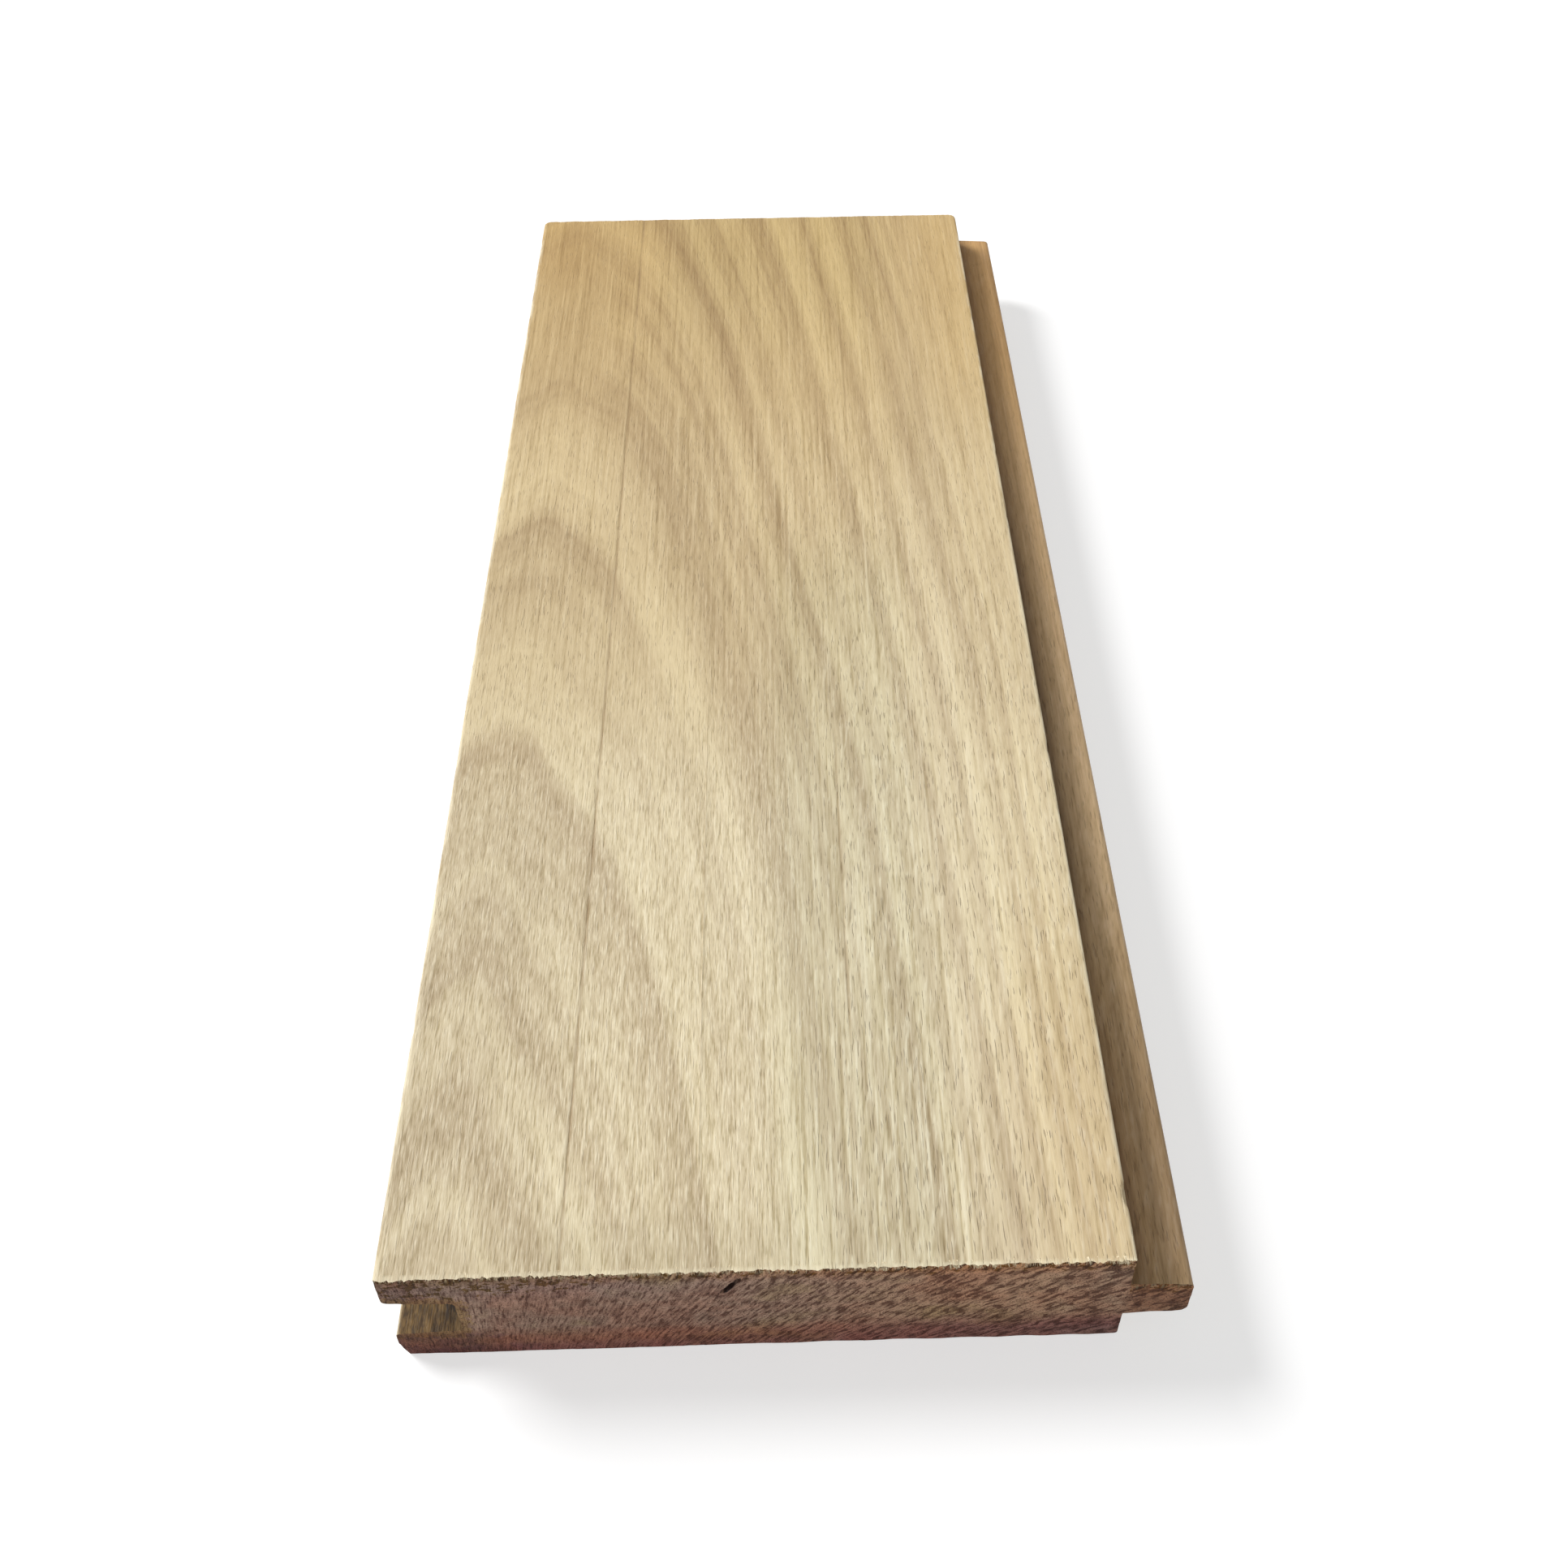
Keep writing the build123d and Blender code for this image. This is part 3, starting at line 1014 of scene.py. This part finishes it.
def nick_arris(bm, size):
    """Small knocks along the two upper arrises."""
    shoulder = BOARD_HIGH[0] - size.tongue_length
    draw = random.Random(41)
    knocks = [(shoulder, -115.5 * MM, 2.2 * MM, 0.30 * MM)]
    for _ in range(9):
        side = draw.choice((BOARD_LOW[0], shoulder))
        along = draw.uniform(-0.118, 0.118)
        knocks.append((side, along, draw.uniform(0.8, 2.2) * MM, draw.uniform(0.05, 0.15) * MM))
    inward = {BOARD_LOW[0]: 1.0, shoulder: -1.0}
    for vert in bm.verts:
        if BOARD_HIGH[2] - vert.co.z > 0.9 * MM:
            continue
        for side, along, reach, deep in knocks:
            aside = abs(vert.co.x - side)
            far = math.hypot((vert.co.y - along) / reach, aside / (0.9 * MM))
            if far < 1.0:
                fade = (1.0 - far * far) ** 2
                vert.co.x += inward[side] * deep * fade
                vert.co.z -= 0.7 * deep * fade


def show_edges(bm):
    """Smooth faces, with sharp edges where the surface turns."""
    for face in bm.faces:
        face.smooth = True
    for edge in bm.edges:
        if len(edge.link_faces) == 2:
            edge.smooth = edge.calc_face_angle() < SHARP_TURN


def add_piece(name, bm, materials):
    """Makes an object of a bmesh and puts it on the board's body."""
    mesh = bpy.data.meshes.new(name)
    bm.to_mesh(mesh)
    bm.free()
    for material in materials:
        mesh.materials.append(material)
    piece = bpy.data.objects.new(name, mesh)
    bpy.context.scene.collection.objects.link(piece)
    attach(piece, "root")
    return piece


class FLOORBOARD_OT_board(bpy.types.Operator):
    """Moulds the board, cuts its figure's relief and gives it planed and sawn surfaces."""

    bl_idname = "floorboard.board"
    bl_label = "Build Board"

    def execute(self, context):
        size = context.scene.floorboard_sizes
        finish = context.scene.floorboard_finish
        bm = moulded_length(size)
        strip_cuts(bm, size)
        rows_along(bm, size)
        bm.normal_update()
        weather(bm, size, finish)
        knock_corners(bm, size)
        nick_arris(bm, size)
        bm.normal_update()
        show_edges(bm)
        group = wood_figure(finish)
        surfaces = (planed_wood(finish, size, group), sawn_end(finish, size, group))
        board = add_piece("floorboard_wood", bm, surfaces)
        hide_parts("floorboard")
        return {"FINISHED"}


class FLOORBOARD_OT_fibres(bpy.types.Operator):
    """Adds the torn fibres that the saw left along the upper edges of the two ends."""

    bl_idname = "floorboard.fibres"
    bl_label = "Add Torn Fibres"

    def execute(self, context):
        size = context.scene.floorboard_sizes
        bm = bmesh.new()
        draw = random.Random(1914)
        lip = BOARD_LOW[0]
        shoulder = BOARD_HIGH[0] - size.tongue_length
        top = BOARD_HIGH[2]
        tongue_top = size.tongue_height + size.tongue_root / 2
        slope = math.tan(size.tongue_taper)
        for end, trim, count in ((-1.0, size.near_trim, 420), (1.0, size.far_trim, 120)):
            edge = (BOARD_LOW[1] + trim) if end < 0 else (BOARD_HIGH[1] - trim)
            reach = 0.6 * MM if end < 0 else trim
            for _ in range(count):
                at = Vector((draw.uniform(lip + 0.6 * MM, shoulder - 0.6 * MM), edge, top))
                self.fibre(bm, draw, at, end, reach, (0.2, 0.8), (0.03, 0.12))
            for across in TUFTS if end < 0 else ():
                for _ in range(9):
                    at = Vector((lip + across * MM + draw.gauss(0.0, 0.4) * MM, edge, top))
                    self.fibre(bm, draw, at, end, reach, (0.5, 0.9), (0.08, 0.2))
            for _ in range(12):
                out = draw.uniform(1.5 * MM, size.tongue_length - 1.6 * MM)
                at = Vector((shoulder + out, edge, tongue_top - slope * out))
                self.fibre(bm, draw, at, end, reach, (0.4, 0.9), (0.08, 0.22))
        for face in bm.faces:
            face.smooth = True
        add_piece("torn_fibres", bm, (fibre_wood(),))
        return {"FINISHED"}

    @staticmethod
    def fibre(bm, draw, place, end, room, reaches, widths):
        """One tapered fibre, rooted inside the board and bent down over its edge."""
        reach = room * draw.uniform(*reaches)
        width = draw.uniform(*widths) * MM
        root = 0.55 * MM
        length = reach + root
        made = bmesh.ops.create_cone(
            bm,
            cap_ends=True,
            segments=5,
            radius1=width,
            radius2=width * 0.25,
            depth=length,
        )
        droop = draw.random() ** 2 * 0.9
        lay = Matrix.Rotation(math.radians(-90.0 * end), 4, "X")
        flat = Matrix.Diagonal((1.0, 1.0, 0.6, 1.0))
        along = Matrix.Translation((0.0, end * (reach - root) / 2.0, 0.0))
        bend = Matrix.Rotation(-end * droop, 4, "X")
        turn = Matrix.Rotation(draw.uniform(-0.2, 0.45), 4, "Z")
        below = max(draw.uniform(0.12, 0.4) * MM, root * math.sin(droop) + 0.6 * width + 0.05 * MM)
        at = Matrix.Translation(place - Vector((0.0, 0.0, below)))
        bmesh.ops.transform(bm, verts=made["verts"], matrix=at @ turn @ bend @ along @ flat @ lay)


class FLOORBOARD_OT_stage(bpy.types.Operator):
    """Sets the pale floor, the soft light and the camera."""

    bl_idname = "floorboard.stage"
    bl_label = "Set Stage"

    def execute(self, context):
        stage = context.scene.floorboard_stage
        self.floor(stage)
        self.light(context.scene, stage)
        self.camera(context.scene, stage)
        context.scene.view_settings.view_transform = "Standard"
        return {"FINISHED"}

    @staticmethod
    def seen(t):
        """1 for what the camera sees directly, in a gloss or through glass."""
        path = t.add("ShaderNodeLightPath").outputs
        seen = t.maths("MAXIMUM", path["Is Camera Ray"], path["Is Glossy Ray"])
        return t.maths("MAXIMUM", seen, path["Is Transmission Ray"])

    def floor(self, stage):
        bm = bmesh.new()
        bmesh.ops.create_grid(bm, x_segments=1, y_segments=1, size=6.0)
        mesh = bpy.data.meshes.new("studio_floor")
        bm.to_mesh(mesh)
        bm.free()
        floor = bpy.data.objects.new("studio_floor", mesh)
        bpy.context.scene.collection.objects.link(floor)
        material, t = new_material("studio_floor")
        matt = t.add("ShaderNodeBsdfDiffuse")
        tone = t.mix(self.seen(t), (0.60, 0.60, 0.60), stage.floor_tone)
        t.feed(matt.inputs["Color"], tone)
        glow = t.add("ShaderNodeEmission")
        t.feed(glow.inputs["Strength"], t.times(self.seen(t), 0.58))
        both = t.add("ShaderNodeAddShader")
        t.feed(both.inputs[0], matt.outputs[0])
        t.feed(both.inputs[1], glow.outputs[0])
        t.feed(t.add("ShaderNodeOutputMaterial").inputs[0], both.outputs[0])
        mesh.materials.append(material)

    def light(self, scene, stage):
        for name, strength, towards, spread in (
            ("key_light", stage.key_strength, stage.key_towards, 24.0),
            ("fill_light", stage.fill_strength, (0.3, -1.0, 0.35), 60.0),
        ):
            data = bpy.data.lights.new(name, "SUN")
            data.energy = strength
            data.angle = math.radians(spread)
            lamp = bpy.data.objects.new(name, data)
            lamp.rotation_euler = Vector(towards).to_track_quat("Z", "Y").to_euler()
            lamp.location = Vector(towards).normalized()
            scene.collection.objects.link(lamp)
        world = bpy.data.worlds.new("studio")
        world.use_nodes = True
        t = Tree(world.node_tree)
        sky = t.add("ShaderNodeBackground")
        t.feed(sky.inputs["Strength"], t.span(self.seen(t), 0.0, 1.0, stage.sky_strength, 1.0))
        t.feed(t.add("ShaderNodeOutputWorld").inputs[0], sky.outputs[0])
        t.feed(sky.inputs["Color"], (1.0, 1.0, 1.0))
        scene.world = world

    def camera(self, scene, stage):
        data = bpy.data.cameras.new("studio_camera")
        data.sensor_width = 36.0
        data.lens = stage.camera_lens
        data.shift_x, data.shift_y = stage.camera_shift
        data.clip_start = 0.01
        camera = bpy.data.objects.new("studio_camera", data)
        turn = Matrix.Rotation(stage.camera_heading, 4, "Z")
        tilt = Matrix.Rotation(math.pi / 2 - stage.camera_elevation, 4, "X")
        roll = Matrix.Rotation(stage.camera_roll, 4, "Z")
        camera.matrix_world = Matrix.Translation(stage.camera_place) @ turn @ tilt @ roll
        scene.collection.objects.link(camera)
        scene.camera = camera


class FLOORBOARD_PT_panel(bpy.types.Panel):
    """Lists the floorboard's pieces, sizes and colours."""

    bl_idname = "FLOORBOARD_PT_panel"
    bl_label = "Hardwood Floorboard"
    bl_space_type = "VIEW_3D"
    bl_region_type = "UI"
    bl_category = "Floorboard"

    def draw(self, context):
        layout = self.layout
        for operator in PIECES:
            layout.operator(operator.bl_idname)
        for settings in ("floorboard_sizes", "floorboard_finish", "floorboard_stage"):
            group = getattr(context.scene, settings)
            box = layout.box()
            for name in group.__annotations__:
                box.prop(group, name)


PIECES = (FLOORBOARD_OT_board, FLOORBOARD_OT_fibres, FLOORBOARD_OT_stage)
CLASSES = (FloorboardSizes, FloorboardFinish, FloorboardStage, *PIECES, FLOORBOARD_PT_panel)


def register():
    for made in CLASSES:
        bpy.utils.register_class(made)
    bpy.types.Scene.floorboard_sizes = PointerProperty(type=FloorboardSizes)
    bpy.types.Scene.floorboard_finish = PointerProperty(type=FloorboardFinish)
    bpy.types.Scene.floorboard_stage = PointerProperty(type=FloorboardStage)


def unregister():
    del bpy.types.Scene.floorboard_stage
    del bpy.types.Scene.floorboard_finish
    del bpy.types.Scene.floorboard_sizes
    for made in reversed(CLASSES):
        bpy.utils.unregister_class(made)


def main():
    register()
    bpy.ops.floorboard.board()
    bpy.ops.floorboard.fibres()
    bpy.ops.floorboard.stage()


if __name__ == "__main__":
    main()
